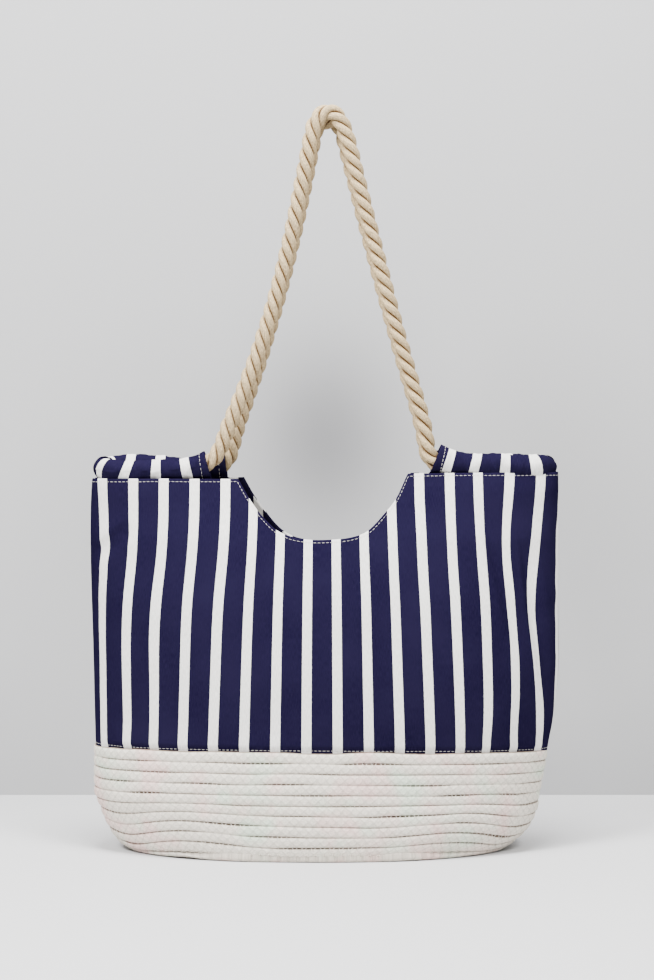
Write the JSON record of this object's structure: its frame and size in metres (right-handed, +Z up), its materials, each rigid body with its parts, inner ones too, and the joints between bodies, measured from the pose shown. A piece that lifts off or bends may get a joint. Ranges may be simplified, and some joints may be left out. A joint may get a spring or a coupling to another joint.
{
  "type": "beach bag",
  "caption": "Open striped canvas beach tote with a round neckline, rope handles that leave rolled casings, and a coiled cotton cord base.",
  "frame": {"origin": "on the floor under the middle of the bag", "axes": "+Z up, +X along the width to the right seen from the front, front faces -Y"},
  "size_m": [0.467, 0.1776, 0.7434],
  "materials": {
    "striped_canvas": "matte woven canvas with white stripes",
    "lining_cotton": "matte plain cotton",
    "cotton_rope": "soft twisted cotton rope",
    "cotton_cord": "braided cotton cord, zigzag stitched"
  },
  "bodies": {
    "bag": {"front_panel": "striped_canvas", "back_panel": "striped_canvas", "front_neck_facing": "striped_canvas", "back_neck_facing": "striped_canvas", "front_left_casing": "striped_canvas", "back_left_casing": "striped_canvas", "front_right_casing": "striped_canvas", "back_right_casing": "striped_canvas", "front_lining": "lining_cotton", "back_lining": "lining_cotton", "base_lining_wall": "lining_cotton", "base_lining_floor": "lining_cotton", "rope_splice_band": "lining_cotton", "left_casing_rope": "cotton_rope", "right_casing_rope": "cotton_rope", "base_wall_coil": "cotton_cord", "base_floor_coil": "cotton_cord"},
    "front_handle": {"front_handle_rope": "cotton_rope"},
    "back_handle": {"back_handle_rope": "cotton_rope"}
  },
  "joints": [
    {"name": "front_handle_swing", "type": "hinge", "parent": "bag", "child": "front_handle", "pos_m": [0, -0.0132, 0.385], "axis": [1, 0, 0], "range_deg": [0, 118]},
    {"name": "back_handle_swing", "type": "hinge", "parent": "bag", "child": "back_handle", "pos_m": [0, 0.0132, 0.385], "axis": [1, 0, 0], "range_deg": [-118, 0]}
  ]
}
